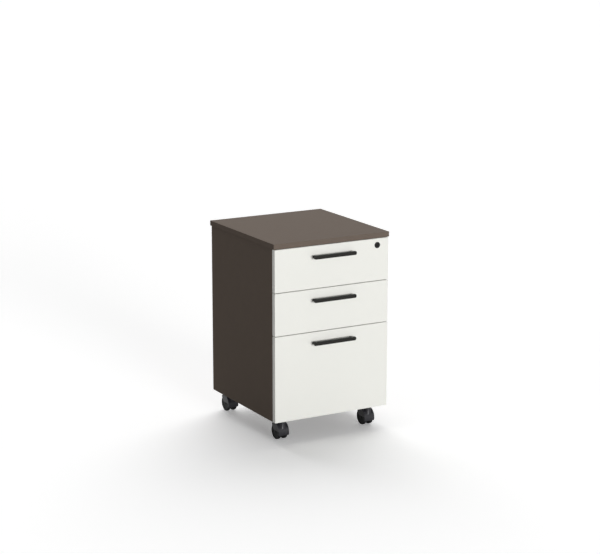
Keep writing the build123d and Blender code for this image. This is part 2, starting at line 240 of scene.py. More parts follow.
def add_turning(shape, profile, centre, axis, steps=48):
    """A turned piece: points of (radius, distance) swept round an axis through centre."""
    turn = Vector((0, 0, 1)).rotation_difference(Vector(axis)).to_matrix()
    rings = []
    for radius, distance in profile:
        if rings and (radius, distance) == profile[0]:
            rings.append(rings[0])
            continue
        angles = [2 * math.pi * step / steps for step in range(steps if radius else 1)]
        points = [Vector((radius * math.cos(angle), radius * math.sin(angle), distance)) for angle in angles]
        rings.append([shape.verts.new(centre + turn @ point) for point in points])
    for near, far in zip(rings, rings[1:]):
        for step in range(steps):
            around = (step + 1) % steps
            verts = (near[step % len(near)], near[around % len(near)], far[around % len(far)], far[step % len(far)])
            shape.faces.new(list(dict.fromkeys(verts)))


def cut(made, tool, operation="DIFFERENCE"):
    """Cuts a tool's shape out of a piece, or joins it on, and deletes the tool."""
    modifier = made.modifiers.new("cut", "BOOLEAN")
    modifier.operation = operation
    modifier.solver = "EXACT"
    modifier.object = tool
    graph = bpy.context.evaluated_depsgraph_get()
    mesh = bpy.data.meshes.new_from_object(made.evaluated_get(graph))
    made.modifiers.clear()
    made.data = mesh
    bpy.data.objects.remove(tool)


def cam_pockets(seats):
    """The tool for the blind pockets, with a small chamfer at the mouth of each."""
    pocket = cam_radius + pocket_gap
    mouth = pocket + pocket_chamfer
    profile = [
        (0, -overshoot), (mouth, -overshoot), (mouth, 0),
        (pocket, pocket_chamfer), (pocket, cam_depth), (0, cam_depth),
    ]
    shape = bmesh.new()
    for place, axis in seats:
        add_turning(shape, profile, place, axis)
    return to_object("pockets", shape)


for name, seats, thin_axis in (
    ("left_side", cam_seats[:2], 0), ("right_side", cam_seats[2:4], 0),
    ("bottom_panel", cam_seats[4:], 2), ("back_panel", (), 1),
):
    low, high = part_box(name)
    shape = bmesh.new()
    add_slab(shape, low, high, board_rounding)
    board = to_object(name.replace("_panel", "") + "_board", shape)
    if seats:
        cut(board, cam_pockets(seats))
    if name == "right_side":
        groove_low = Vector((inner_half - overshoot, bar_low.y - bar_gap, bar_low.z - bar_travel))
        groove_high = Vector((bar_high.x + bar_gap, bar_high.y + bar_gap, top_low.z + overshoot))
        shape = bmesh.new()
        add_slab(shape, groove_low, groove_high, groove_rounding)
        cut(board, to_object("groove", shape))
    finish = laminate(
        name + "_laminate", dark_brown, low, high, thin_axis, brown_roughness, brown_fleck, brown_specular
    )
    fit(board, finish, "dark_laminate", "cabinet", name)

# ---- Cams ----
# Die-cast zinc cams, 15 mm across, pushed into the pockets and turned with a cross-head
# screwdriver. They lie just under the face of the board.
cam_sink = 0.0002
cam_edge = 0.0005
cam_slot = 0.0011
cam_slot_reach = 0.0044
cam_slot_depth = 0.0022


def metal(name, rgb, roughness, grain, wear=0.1):
    """Plated or drawn metal: streaks along the way it was made, and a slight clouding."""
    made = Finish(name, rgb, roughness, metallic=1.0)
    streak = made.place.stretched(*grain).noise(1.0, 3.0)
    cloud = made.place.noise(70.0, 3.0)
    return made.feed(
        Base_Color=cloud.between(colour(rgb, 1 - wear), colour(rgb, 1 + wear)),
        Roughness=roughness + (streak - 0.5) * 0.2 + (cloud - 0.5) * 0.1,
        Normal=made.place.bump(streak * 0.000004),
    )


def add_strip(shape, outline, axis, start, end):
    """A section across an axis, numbered 0 to 2, pulled out from start to end. Gives the edges of its ends."""
    ring = {}
    for distance in (start, end):
        ring[distance] = []
        for u, v in outline:
            point = [u, v]
            point.insert(axis, distance)
            ring[distance].append(shape.verts.new(point))
    near, far = ring[start], ring[end]
    caps = [shape.faces.new(near), shape.faces.new(far[::-1])]
    for index in range(len(outline)):
        shape.faces.new((near[index - 1], near[index], far[index], far[index - 1]))
    return [edge for cap in caps for edge in cap.edges]


def add_cross(shape, place, axis, reach, half, near, far):
    """The hole of a cross recess, along an axis between two distances from a place."""
    along = max(range(3), key=lambda number: abs(axis[number]))
    u, v = [place[number] for number in range(3) if number != along]
    outline = []
    for turn in range(4):
        across, up = round(math.cos(math.pi / 2 * turn)), round(math.sin(math.pi / 2 * turn))
        for x, y in ((reach, -half), (reach, half), (half, half)):
            outline.append((u + x * across - y * up, v + x * up + y * across))
    start, end = [place[along] + axis[along] * distance for distance in (near, far)]
    add_strip(shape, outline, along, start, end)


fittings_finish = metal("zinc_casting", (190, 192, 194), roughness=0.38, grain=(900, 900, 900))
shape = bmesh.new()
for place, axis in cam_seats:
    profile = [
        (0, cam_sink), (cam_radius - cam_edge, cam_sink), (cam_radius, cam_sink + cam_edge),
        (cam_radius, cam_depth - cam_edge), (0, cam_depth - cam_edge),
    ]
    add_turning(shape, profile, place, axis)
cams = to_object("cams", shape)
shape = bmesh.new()
for place, axis in cam_seats:
    add_cross(shape, place, axis, cam_slot_reach, cam_slot, -cam_slot_depth, cam_slot_depth)
cut(cams, to_object("cross_slots", shape))
fit(cams, fittings_finish, "zinc_fittings", "cabinet", "cam_fittings")

# ---- Telescopic slides ----
# Roll-formed zinc-plated steel, 45 mm high, in three members: the outer one is screwed to
# the cabinet side, the inner one to the drawer, and the middle one runs on caged balls.
drawers = ("drawer_1", "drawer_2", "file_drawer")
sheet = 0.0012
bend_radius = 0.0014
outer_depth = 0.0104
outer_lip = 0.0032
middle_depth = 0.0086
ball_radius = 0.00128
ball_pitch = 0.0074
cage_length = 0.14
cage_thickness = 0.0008
cage_rounding = 0.0002
lip_rounding = 0.0003
cage_end = 0.02
cage_inset = 0.001
steel_finish = metal("rolled_steel", (196, 199, 203), roughness=0.3, grain=(260, 9, 260))


def rounded(points, radii, steps=4):
    """A closed outline with its corners rounded, by one radius or by one for each corner."""
    if not hasattr(radii, "__len__"):
        radii = [radii] * len(points)
    outline = []
    for index, radius in enumerate(radii):
        here = Vector(points[index])
        if not radius:
            outline.append(here)
            continue
        back = (Vector(points[index - 1]) - here).normalized()
        ahead = (Vector(points[(index + 1) % len(points)]) - here).normalized()
        half_angle = back.angle(ahead) / 2
        centre = here + (back + ahead).normalized() * radius / math.sin(half_angle)
        reach = radius / math.tan(half_angle)
        start, stop = here + back * reach - centre, here + ahead * reach - centre
        for step in range(steps + 1):
            outline.append(centre + start.lerp(stop, step / steps).normalized() * radius)
    return outline


def channel(web_x, lip_x, z, half, lip):
    """The outline of a bent channel in X and Z. Its edges turn in by a lip that is thicker than the sheet."""
    way = 1 if lip_x > web_x else -1
    deep, thick = lip_x, way * sheet
    outside = [(web_x, z + half), (web_x, z - half), (deep, z - half)]
    lip_end = [(deep, z - half + lip), (deep - thick, z - half + lip), (deep - thick, z - half + sheet)]
    inside = [(web_x + thick, z - half + sheet), (web_x + thick, z + half - sheet)]
    other_end = [(deep - thick, z + half - sheet), (deep - thick, z + half - lip), (deep, z + half - lip)]
    bend, soft = bend_radius, lip_rounding
    if lip <= sheet:
        points = outside + [(deep, z - half + sheet)] + inside + [(deep, z + half - sheet), (deep, z + half)]
        radii = [bend] * 2 + [soft] * 6
    else:
        points = outside + lip_end + inside + other_end + [(deep, z + half)]
        radii = [bend] * 3 + [soft] * 8 + [bend]
    return rounded(points, radii, 3)


outer_low, outer_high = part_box("cabinet_slide_members")
slide_start, slide_end = outer_low.y, outer_high.y
outers = bmesh.new()
for drawer in drawers:
    middle_low, middle_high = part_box(drawer + "_middle_slides")
    inner_low, inner_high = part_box(drawer + "_slide_members")
    slide_z = (middle_low.z + middle_high.z) / 2
    if drawer == drawers[0]:
        outer_half = outer_high.z - slide_z
    box_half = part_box(drawer + "_box_sides")[1].x
    inner_tall = (inner_high.z - inner_low.z) / 2
    ball_gap = (outer_half - inner_tall) / 2 - sheet
    cage_tall = ball_gap - (outer_half - sheet - (middle_high.z - slide_z))
    middle_half = middle_high.z - slide_z - cage_tall
    middles, inners, cages = bmesh.new(), bmesh.new(), bmesh.new()
    strips = []
    for side in (-1, 1):
        outline = channel(side * outer_high.x, side * (outer_high.x - outer_depth), slide_z, outer_half, outer_lip)
        add_strip(outers, outline, 1, slide_start, slide_end)
        outline = channel(side * middle_high.x, side * (middle_high.x - middle_depth), slide_z, middle_half, sheet)
        add_strip(middles, outline, 1, slide_start, slide_end)
        outline = channel(side * box_half, side * inner_high.x, slide_z, inner_tall, sheet)
        add_strip(inners, outline, 1, slide_start, slide_end)
        back_start = slide_end - cage_end - cage_length
        back_cage = (middle_high.x - sheet, inner_half - outer_depth + sheet + cage_inset, back_start)
        front_cage = (inner_high.x - cage_inset, middle_high.x - middle_depth + cage_inset, slide_start + cage_end)
        rises = (middle_half + cage_tall / 2, middle_half - sheet - cage_tall / 2)
        for (far_x, near_x, start), rise in zip((back_cage, front_cage), rises):
            x = side * (far_x + near_x) / 2
            half = Vector(((far_x - near_x) / 2, 0, cage_thickness / 2))
            for up in (-1, 1):
                middle = Vector((x, start, slide_z + up * rise))
                strips.append((middle - half, middle + half + Vector((0, cage_length, 0))))
                for ball in range(1, int(cage_length / ball_pitch)):
                    place = middle + Vector((0, ball * ball_pitch, 0))
                    made = bmesh.ops.create_icosphere(cages, subdivisions=1, radius=ball_radius)["verts"]
                    bmesh.ops.translate(cages, vec=place, verts=made)
    # The strips come after the balls: faces added after a bevel change order from run to run.
    for near, far in strips:
        add_slab(cages, near, far, cage_rounding)
    body = drawer + "_middle"
    fit(to_object(drawer + "_middle_members", middles), steel_finish, "zinc_steel", body, drawer + "_middle_slides")
    fit(to_object(drawer + "_ball_cages", cages), steel_finish, "zinc_steel", body, bend=60)
    fit(to_object(drawer + "_inner_members", inners), steel_finish, "zinc_steel", drawer, drawer + "_slide_members")
fit(to_object("outer_members", outers), steel_finish, "zinc_steel", "cabinet", "cabinet_slide_members")

# ---- Drawer fronts ----
# 16 mm boards in warm white melamine with white banding. Each is bored for the screws of its
# handle, and the top one for the lock.
warm_white = (238, 238, 232)
hole_gap = 0.0003
shank_radius = 0.002
front_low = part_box("drawer_1_front")[0]
lock_low, lock_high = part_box("lock_housing")
lock_x, lock_z = (lock_low.x + lock_high.x) / 2, (lock_low.z + lock_high.z) / 2
barrel_radius = 0.008
handle_head_radius = 0.004
along_y = (0, 1, 0)


def handle_screw_points(drawer):
    """Where the axes of the two screws pass the front's face."""
    low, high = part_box(drawer + "_handle_screws")
    z = (low.z + high.z) / 2
    return [Vector((side * (high.x - handle_head_radius), front_low.y, z)) for side in (-1, 1)]


def bore(made, places, radius, depth, axis):
    """Drills round holes into a piece from a little before each place."""
    shape = bmesh.new()
    far = depth + overshoot
    profile = [(0, -overshoot), (radius, -overshoot), (radius, far), (0, far)]
    for place in places:
        add_turning(shape, profile, place, axis, 32)
    cut(made, to_object("bores", shape))


for drawer in drawers:
    low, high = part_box(drawer + "_front")
    shape = bmesh.new()
    add_slab(shape, low, high, board_rounding)
    front = to_object(drawer + "_front_board", shape)
    bore(front, handle_screw_points(drawer), shank_radius + hole_gap, high.y - low.y, along_y)
    if drawer == drawers[0]:
        lock_place = Vector((lock_x, low.y, lock_z))
        bore(front, [lock_place], barrel_radius + hole_gap / 2, high.y - low.y, along_y)
    finish = laminate(drawer + "_front_laminate", warm_white, low, high, 1, roughness=0.4, fleck=0.012, specular=0.4)
    fit(front, finish, "white_laminate", drawer, drawer + "_front")

# ---- Handles ----
# Zinc castings in black powder coat: a flat bar with rounded ends on two short legs. Screws
# from inside the drawer hold them by the legs.
handle_bar = 0.007
handle_end = 0.0028
handle_edge = 0.0013
leg_width = 0.0095
leg_inset = 0.0038
leg_top_trim = 0.003
leg_bottom_trim = 0.0012
leg_rounding = 0.0025
powder_black = (31, 31, 28)


def soften(shape, edges, rounding, segments=3):
    """Rounds off the given edges of a mesh being made."""
    bmesh.ops.bevel(shape, geom=edges, offset=rounding, segments=segments, profile=0.5, affect="EDGES")


def coated(name, rgb, roughness, scale, depth, specular=0.5):
    """Paint or moulded skin with a fine even texture."""
    made = Finish(name, rgb, roughness, specular=specular)
    cloud = made.place.noise(45.0, 3.0)
    return made.feed(
        Base_Color=cloud.between(colour(rgb, 0.88), colour(rgb, 1.12)),
        Roughness=roughness + (cloud - 0.5) * 0.12,
        Normal=made.place.bump(made.place.noise(scale, 1.0) * depth),
    )


powder_finish = coated("powder_coat", powder_black, roughness=0.45, scale=1600.0, depth=0.00002, specular=0.14)
for drawer in drawers:
    low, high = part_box(drawer + "_handle")
    corners = [(low.x, low.z), (high.x, low.z), (high.x, high.z), (low.x, high.z)]
    shape = bmesh.new()
    soften(shape, add_strip(shape, rounded(corners, handle_end, 6), 1, low.y, low.y + handle_bar), handle_edge)
    casting = to_object(drawer + "_handle_casting", shape)
    shape = bmesh.new()
    for side in (-1, 1):
        middle = side * (high.x - leg_inset - leg_width / 2)
        foot = (middle - leg_width / 2, middle + leg_width / 2)
        corners = [
            (foot[0], low.z + leg_bottom_trim), (foot[1], low.z + leg_bottom_trim),
            (foot[1], high.z - leg_top_trim), (foot[0], high.z - leg_top_trim),
        ]
        add_strip(shape, rounded(corners, leg_rounding, 5), 1, low.y + handle_bar / 2, high.y)
    cut(casting, to_object("legs", shape), "UNION")
    fit(casting, powder_finish, "black_handle", drawer, drawer + "_handle")

# ---- Handle screws ----
# M4 zinc-plated pan-head screws with a cross recess, through the front into the legs. On the
# file drawer they pass the box's front board as well.
screw_steel = metal("screw_zinc", (186, 188, 190), roughness=0.34, grain=(700, 700, 700))
cross_reach = 0.55
cross_width = 0.12
cross_depth = 0.6
head_rim = 0.35


def add_pan_screw(shape, cuts, head, axis, head_radius, head_height, radius, length):
    """A pan-head screw that points against axis, from the seat of its head, and its recess."""
    crown = [(0, head_height)]
    for step in range(1, 5):
        angle = math.pi / 2 * step / 4
        crown.append((head_radius * math.sin(angle), head_height * (head_rim + (1 - head_rim) * math.cos(angle))))
    profile = crown + [(head_radius, 0), (radius, 0), (radius, -length + radius / 2), (0, -length)]
    add_turning(shape, profile, head, axis, 32)
    bottom, top = head_height * (1 - cross_depth), head_height * 1.5
    add_cross(cuts, head, axis, head_radius * cross_reach, head_radius * cross_width, bottom, top)


for drawer in drawers:
    low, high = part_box(drawer + "_handle_screws")
    head_height = high.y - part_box(drawer + "_front")[1].y
    if head_height > 0.01:
        head_height -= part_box(drawer + "_box_sides")[1].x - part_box(drawer + "_box_ends")[1].x
    shape, cuts = bmesh.new(), bmesh.new()
    for place in handle_screw_points(drawer):
        head = Vector((place.x, high.y - head_height, place.z))
        add_pan_screw(shape, cuts, head, along_y, handle_head_radius, head_height, shank_radius, head.y - low.y)
    screws = to_object(drawer + "_handle_bolts", shape)
    cut(screws, to_object("recesses", cuts))
    fit(screws, screw_steel, "zinc_fittings", drawer, drawer + "_handle_screws")

# ---- Slide and box screws ----
# Zinc-plated screws through the webs of the slides, with low heads on the cabinet's members
# so that the middle ones pass, and countersunk ones that hold the box sides to the ends.
slide_screws = (0.036, 0.175, 0.328)
slide_head = 0.0032
low_head_height = 0.0005
inner_head_height = 0.0018
box_head = 0.0036
box_head_height = 0.0003
box_screw_inset = 0.019
box_screw_edge = 0.006
box_screw_length = 0.03
drawer_screw_length = 0.01
cabinet_screw_length = 0.012


def screws_piece(name, places, head_radius, head_height, length, body):
    """Screws of one size as a piece, from a list of places and the ways that their heads face."""
    shape, cuts = bmesh.new(), bmesh.new()
    for place, axis in places:
        add_pan_screw(shape, cuts, place, axis, head_radius, head_height, head_radius * 0.5, length)
    screws = to_object(name, shape)
    cut(screws, to_object("recesses", cuts))
    fit(screws, screw_steel, "zinc_fittings", body)


on_cabinet = []
for drawer in drawers:
    middle_low, middle_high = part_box(drawer + "_middle_slides")
    side_low, side_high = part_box(drawer + "_box_sides")
    slide_z = (middle_low.z + middle_high.z) / 2
    on_drawer, on_box = [], []
    rows = 2 if side_high.z - side_low.z < 0.1 else 4
    rise = (side_high.z - side_low.z - 2 * box_screw_inset) / (rows - 1)
    for side in (-1, 1):
        for along in slide_screws:
            y = slide_start + along
            on_cabinet.append((Vector((side * (inner_half - sheet), y, slide_z)), (-side, 0, 0)))
            on_drawer.append((Vector((side * (side_high.x + sheet), y, slide_z)), (side, 0, 0)))
        for y in (side_low.y + box_screw_edge, side_high.y - box_screw_edge):
            for row in range(rows):
                place = Vector((side * side_high.x, y, side_low.z + box_screw_inset + row * rise))
                on_box.append((place, (side, 0, 0)))
    screws_piece(drawer + "_slide_screws", on_drawer, slide_head, inner_head_height, drawer_screw_length, drawer)
    screws_piece(drawer + "_box_screws", on_box, box_head, box_head_height, box_screw_length, drawer)
screws_piece("cabinet_slide_screws", on_cabinet, slide_head, low_head_height, cabinet_screw_length, "cabinet")

# ---- Drawer boxes ----
# Boxes of 12 mm light grey melamine board, open at the top. A 6 mm base lies in grooves in
# all four boards. The sides are glued and screwed to the ends.
box_grey = (203, 201, 195)
box_rounding = 0.0006
groove_gap = 0.0002

for drawer in drawers:
    side_low, side_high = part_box(drawer + "_box_sides")
    end_low, end_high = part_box(drawer + "_box_ends")
    base_low, base_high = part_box(drawer + "_base")
    gap = Vector((groove_gap, groove_gap, 0))
    board = side_high.x - end_high.x
    sides, ends, base = bmesh.new(), bmesh.new(), bmesh.new()
    for side in (-1, 1):
        near, far = sorted((side * end_high.x, side * side_high.x))
        add_slab(sides, Vector((near, side_low.y, side_low.z)), Vector((far, side_high.y, side_high.z)), box_rounding)
    for near, far in ((end_low.y, end_low.y + board), (end_high.y - board, end_high.y)):
        add_slab(ends, Vector((end_low.x, near, end_low.z)), Vector((end_high.x, far, end_high.z)), box_rounding)
    add_slab(base, base_low, base_high, box_rounding / 2)
    sides, ends = to_object(drawer + "_side_boards", sides), to_object(drawer + "_end_boards", ends)
    for boards in (sides, ends):
        groove = bmesh.new()
        add_slab(groove, base_low - gap, base_high + gap, box_rounding / 2)
        cut(boards, to_object("groove", groove))
    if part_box(drawer + "_handle_screws")[1].y > side_low.y + board:
        points = [Vector((place.x, side_low.y, place.z)) for place in handle_screw_points(drawer)]
        bore(ends, points, shank_radius + hole_gap, board, along_y)
    grey = laminate(
        drawer + "_box_melamine", box_grey, side_low, side_high, 1, roughness=0.5, fleck=0.02, specular=0.4
    )
    fit(sides, grey, "box_board", drawer, drawer + "_box_sides")
    fit(ends, grey, "box_board", drawer, drawer + "_box_ends")
    fit(to_object(drawer + "_base_board", base), grey, "box_board", drawer, drawer + "_base")

# ---- Catch studs and hanging-file rails ----
# Turned steel studs on the right of each box, where the locking bar catches them, and bent
# steel rails along the tops of the file box's sides.
stud_flange = 0.0044
stud_flange_depth = 0.001
stud_edge = 0.0004
rail_sheet = 0.0016
rail_lip = 0.006


def turned(name, profile, centre, axis, steps=48):
    """One turned piece as an object."""
    shape = bmesh.new()
    add_turning(shape, profile, centre, axis, steps)
    return to_object(name, shape)


for drawer in drawers:
    low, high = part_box(drawer + "_catch_stud")
    radius, length = (high.z - low.z) / 2, high.x - low.x
    profile = [
        (0, 0), (stud_flange, 0), (stud_flange, stud_flange_depth - stud_edge / 2),
        (stud_flange - stud_edge, stud_flange_depth), (radius, stud_flange_depth),
        (radius, length - stud_edge), (radius - stud_edge, length), (0, length),
    ]
    foot = Vector((low.x, (low.y + high.y) / 2, (low.z + high.z) / 2))
    stud = turned(drawer + "_stud", profile, foot, (1, 0, 0), 32)
    fit(stud, steel_finish, "zinc_steel", drawer, drawer + "_catch_stud")
low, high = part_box("file_rails")
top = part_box("file_drawer_box_sides")[1].z
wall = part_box("file_drawer_box_ends")[1].x
shape = bmesh.new()
for side in (-1, 1):
    points = [
        (high.x, top), (high.x, top + rail_sheet), (wall + rail_sheet, top + rail_sheet), (wall + rail_sheet, high.z),
        (wall, high.z), (wall, top + rail_sheet), (wall - rail_sheet, top + rail_sheet),
        (wall - rail_sheet, top - rail_lip), (wall, top - rail_lip), (wall, top),
    ]
    radii = [0.0005, 0.0005, 0, 0.0006, 0.0006, 0, 0.0012, 0.0005, 0.0005, 0]
    add_strip(shape, rounded([(side * x, z) for x, z in points], radii, 3), 1, low.y, high.y)
fit(to_object("hanging_rails", shape), steel_finish, "zinc_steel", "file_drawer", "file_rails")

# ---- Lock ----
# A black plated cam lock: a flanged barrel through the top front, held by a hexagonal nut,
# and a key plug with a disc and a crank pin behind it.
black_plate = coated(
    "black_lock_plating", (26, 26, 25), roughness=0.3, scale=900.0, depth=0.000006, specular=0.2
)
flange_depth = front_low.y - lock_low.y
plug_radius = 0.0055
plug_gap = 0.00005
flange_edge = 0.0007
mouth_edge = 0.0004
plug_edge = 0.0003
nut_chamfer = 0.0006
nut_face_share = 0.94
key_rounding = 0.0002
key_width = 0.0016
key_height = 0.007
key_depth = 0.003
disc_depth = 0.0025
pin_radius = 0.002
pin_length = 0.008
crank_radius = 0.0065
crank_lean = math.radians(45)
nut_low, nut_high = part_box("lock_nut")
plug_low, plug_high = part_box("lock_plug")
lock_face = Vector((lock_x, lock_low.y, lock_z))
bore_radius = plug_radius + plug_gap
flange_radius = (lock_high.x - lock_low.x) / 2
housing_length = lock_high.y - lock_low.y
profile = [
    (bore_radius, mouth_edge), (bore_radius + mouth_edge, 0), (flange_radius - flange_edge, 0),
    (flange_radius, flange_edge), (flange_radius, flange_depth), (barrel_radius, flange_depth),
    (barrel_radius, housing_length), (bore_radius, housing_length), (bore_radius, mouth_edge),
]
barrel = turned("lock_barrel", profile, lock_face, along_y, 64)
fit(barrel, black_plate, "black_lock", "drawer_1", "lock_housing")

nut_radius = (nut_high.x - nut_low.x) / 2
nut_depth = nut_high.y - nut_low.y
nut_face = Vector((lock_x, nut_low.y, lock_z))
angles = [math.pi * step / 3 for step in range(6)]
corners = [(nut_radius * math.cos(angle), nut_radius * math.sin(angle)) for angle in angles]
shape = bmesh.new()
add_strip(shape, [(lock_x + x, lock_z + z) for x, z in corners], 1, nut_low.y, nut_high.y)
nut = to_object("nut", shape)
face_radius = nut_radius * nut_face_share
profile = [
    (barrel_radius, 0), (face_radius, 0), (nut_radius, nut_chamfer), (nut_radius, nut_depth - nut_chamfer),
    (face_radius, nut_depth), (barrel_radius, nut_depth), (barrel_radius, 0),
]
cut(nut, turned("nut_chamfers", profile, nut_face, along_y), "INTERSECT")
fit(nut, black_plate, "black_lock", "drawer_1", "lock_nut")

disc_radius = (plug_high.x - plug_low.x) / 2
pin_y = plug_high.y - pin_length
disc_y = pin_y - disc_depth
plug_face = Vector((lock_x, plug_low.y, lock_z))
crank_arm = crank_radius * math.cos(crank_lean)
pin_z = lock_z - bar_travel / 2
profile = [
    (0, 0), (plug_radius - plug_edge, 0), (plug_radius, plug_edge), (plug_radius, disc_y - plug_low.y),
    (disc_radius, disc_y - plug_low.y), (disc_radius, pin_y - plug_low.y), (0, pin_y - plug_low.y),
]
plug = turned("key_plug", profile, plug_face, along_y, 64)
profile = [
    (0, -overshoot), (pin_radius, -overshoot), (pin_radius, pin_length - plug_edge),
    (pin_radius - plug_edge, pin_length), (0, pin_length),
]
cut(plug, turned("crank_pin", profile, Vector((lock_x - crank_arm, pin_y, pin_z)), along_y, 32), "UNION")
key_half = Vector((key_width / 2, 0, key_height / 2))
key_low = plug_face - key_half - Vector((0, overshoot, 0))
shape = bmesh.new()
add_slab(shape, key_low, plug_face + key_half + Vector((0, key_depth, 0)), key_rounding)
cut(plug, to_object("key_slot", shape))
fit(plug, black_plate, "black_lock", "key_plug", "lock_plug")

# ---- Locking bar ----
# An extruded aluminium bar in the groove of the right side. A bent plate with a slot joins it
# to the crank pin, and it carries one steel catch for each drawer.
fork_sheet = 0.002
fork_play = 0.00035
fork_edge = 0.0004
slot_roundness = 0.98
fork_bend = 0.0016
fork_softening = 0.0003
bar_rounding = 0.0005
catch_height = 0.005
aluminium = metal("mill_aluminium", (212, 214, 216), roughness=0.32, grain=(420, 420, 8), wear=0.06)
shape = bmesh.new()
add_slab(shape, bar_low, bar_high, bar_rounding)
fit(to_object("gang_bar", shape), aluminium, "bar_aluminium", "gang_bar", "locking_bar")

fork_low, fork_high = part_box("bar_fork")
reach = pin_radius + fork_play
outline = rounded(
    [(fork_low.x, fork_low.y), (inner_half - bar_gap, fork_low.y), (inner_half - bar_gap, bar_low.y),
     (fork_high.x, bar_low.y), (fork_high.x, fork_high.y), (fork_high.x - fork_sheet, fork_high.y),
     (fork_high.x - fork_sheet, fork_low.y + fork_sheet), (fork_low.x, fork_low.y + fork_sheet)],
    [fork_edge, fork_bend, 0, 0] + [fork_edge] * 4,
)
shape = bmesh.new()
soften(shape, add_strip(shape, outline, 2, fork_low.z, fork_high.z), fork_softening, 2)
fork = to_object("fork", shape)
slot_low = (lock_x - crank_radius - reach, pin_z - reach)
slot_high = (lock_x - crank_arm + reach, pin_z + reach)
corners = [slot_low, (slot_high[0], slot_low[1]), slot_high, (slot_low[0], slot_high[1])]
outline = rounded(corners, reach * slot_roundness, 8)
shape = bmesh.new()
add_strip(shape, outline, 1, fork_low.y - overshoot, fork_low.y + fork_sheet + overshoot)
cut(fork, to_object("fork_slot", shape))
fit(fork, steel_finish, "zinc_steel", "gang_bar", "bar_fork")

low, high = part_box("bar_catches")
catch_drop = high.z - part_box("drawer_1_catch_stud")[0].z
shape = bmesh.new()
for drawer in drawers:
    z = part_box(drawer + "_catch_stud")[0].z + catch_drop
    add_slab(shape, Vector((low.x, low.y, z - catch_height)), Vector((high.x, high.y, z)), bar_rounding)
fit(to_object("catches", shape), steel_finish, "zinc_steel", "gang_bar", "bar_catches")

low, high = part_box("bar_guides")
guide_height = 0.012
guide_rounding = 0.0015
guide_edge = 0.0002
guide_head = 0.0028
guide_head_height = 0.0009
guide_screw_inset = 0.004
guide_screw_length = 0.01
shape, places = bmesh.new(), []
for z in (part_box("drawer_2_front")[1].z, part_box("file_drawer_front")[1].z, low.z):
    corners = [(low.y, z), (high.y, z), (high.y, z + guide_height), (low.y, z + guide_height)]
    soften(shape, add_strip(shape, rounded(corners, guide_rounding), 0, low.x, high.x), guide_edge, 2)
    for y in (low.y + guide_screw_inset, high.y - guide_screw_inset):
        places.append((Vector((low.x, y, z + guide_height / 2)), (-1, 0, 0)))
fit(to_object("guide_plates", shape), steel_finish, "zinc_steel", "cabinet", "bar_guides")
screws_piece("guide_screws", places, guide_head, guide_head_height, guide_screw_length, "cabinet")

# ---- Caster plates and screws ----
# Pressed and turned zinc-plated plates with a collar for the kingpin. Four pan-head screws
# hold each one under the base.
caster_names = ("front_left", "front_right", "back_left", "back_right")
plate_low, plate_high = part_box("caster_plates")
screw_low, screw_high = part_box("caster_screws")
plate_half = 0.019
plate_depth = 0.0025
plate_corner = 0.004
plate_edge = 0.0004
collar_radius = 0.013
collar_flare = 0.0008
kingpin_radius = 0.005
running_gap = 0.00005
along_z = (0, 0, 1)
plate_head_radius = 0.0035
plate_head_height = 0.002
plate_shank = 0.0019
plates, heads, cuts = bmesh.new(), bmesh.new(), bmesh.new()
plate_face = plate_high.z - plate_depth
collar_height = plate_face - plate_low.z
swivels = {}
for name in caster_names:
    hood_low, hood_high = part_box(name + "_caster_hood")
    swivel_x = (hood_low.x + hood_high.x) / 2
    swivel_y = plate_low.y + plate_half if "front" in name else plate_high.y - plate_half
    swivels[name] = Vector((swivel_x, swivel_y, 0))
    turns = ((-1, -1), (1, -1), (1, 1), (-1, 1))
    corners = [(swivel_x + x * plate_half, swivel_y + y * plate_half) for x, y in turns]
    outline = rounded(corners, plate_corner, 5)
    soften(plates, add_strip(plates, outline, 2, plate_face, plate_high.z), plate_edge, 2)
    for x in (-1, 1):
        for y in (-1, 1):
            offset = plate_half - (screw_low.x - plate_low.x) - plate_head_radius
            head = Vector((swivel_x + x * offset, swivel_y + y * offset, plate_face))
            depth = screw_high.z - plate_face
            add_pan_screw(heads, cuts, head, (0, 0, -1), plate_head_radius, plate_head_height, plate_shank, depth)
plates = to_object("swivel_plates", plates)
inside = kingpin_radius + running_gap
bore(plates, [place + Vector((0, 0, plate_face)) for place in swivels.values()], inside, plate_depth, along_z)
flared = collar_radius + collar_flare
profile = [
    (inside, 0), (collar_radius - collar_flare, 0), (collar_radius, collar_flare),
    (collar_radius, collar_height - collar_flare), (flared, collar_height), (inside, collar_height), (inside, 0),
]
shape = bmesh.new()
for place in swivels.values():
    add_turning(shape, profile, place + Vector((0, 0, plate_low.z)), along_z)
cut(plates, to_object("collars", shape), "UNION")
fit(plates, steel_finish, "zinc_steel", "cabinet", "caster_plates")
screws = to_object("plate_screws", heads)
cut(screws, to_object("recesses", cuts))
fit(screws, screw_steel, "zinc_fittings", "cabinet", "caster_screws")

# ---- Caster hoods and pins ----
# Glossy moulded nylon hoods: a fender with side cheeks over both wheels, a web between them
# and a boss under the swivel. The steel kingpin and axle are pressed in.
hood_plastic = coated("hood_nylon", (44, 43, 47), roughness=0.34, scale=500.0, depth=0.000004, specular=0.25)
hood_start, hood_end, cheek_end = math.radians(48), math.radians(197), math.radians(171)
hood_wall = 0.0022
cheek_wall = 0.0012
cheek_drop = 0.0045
cheek_back = 0.35
cheek_front = 0.8
boss_edge = 0.0006
pin_edge = 0.0005
across = (1, 0, 0)
hood_edge = 0.0011
web_half = 0.0055
hub_radius = 0.009
axle_radius = 0.003
swivel_radius = 0.01
swivel_rise = 0.012
pin_bite = 0.0105
wheel_low, wheel_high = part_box("front_left_caster_wheel_left")
wheel_radius = (wheel_high.z - wheel_low.z) / 2
hood_low, hood_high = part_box("front_left_caster_hood")
trail = (wheel_low.y + wheel_high.y) / 2 - swivels["front_left"].y
hood_half = (hood_high.x - hood_low.x) / 2
rim_radius = swivels["front_left"].y + trail - hood_low.y


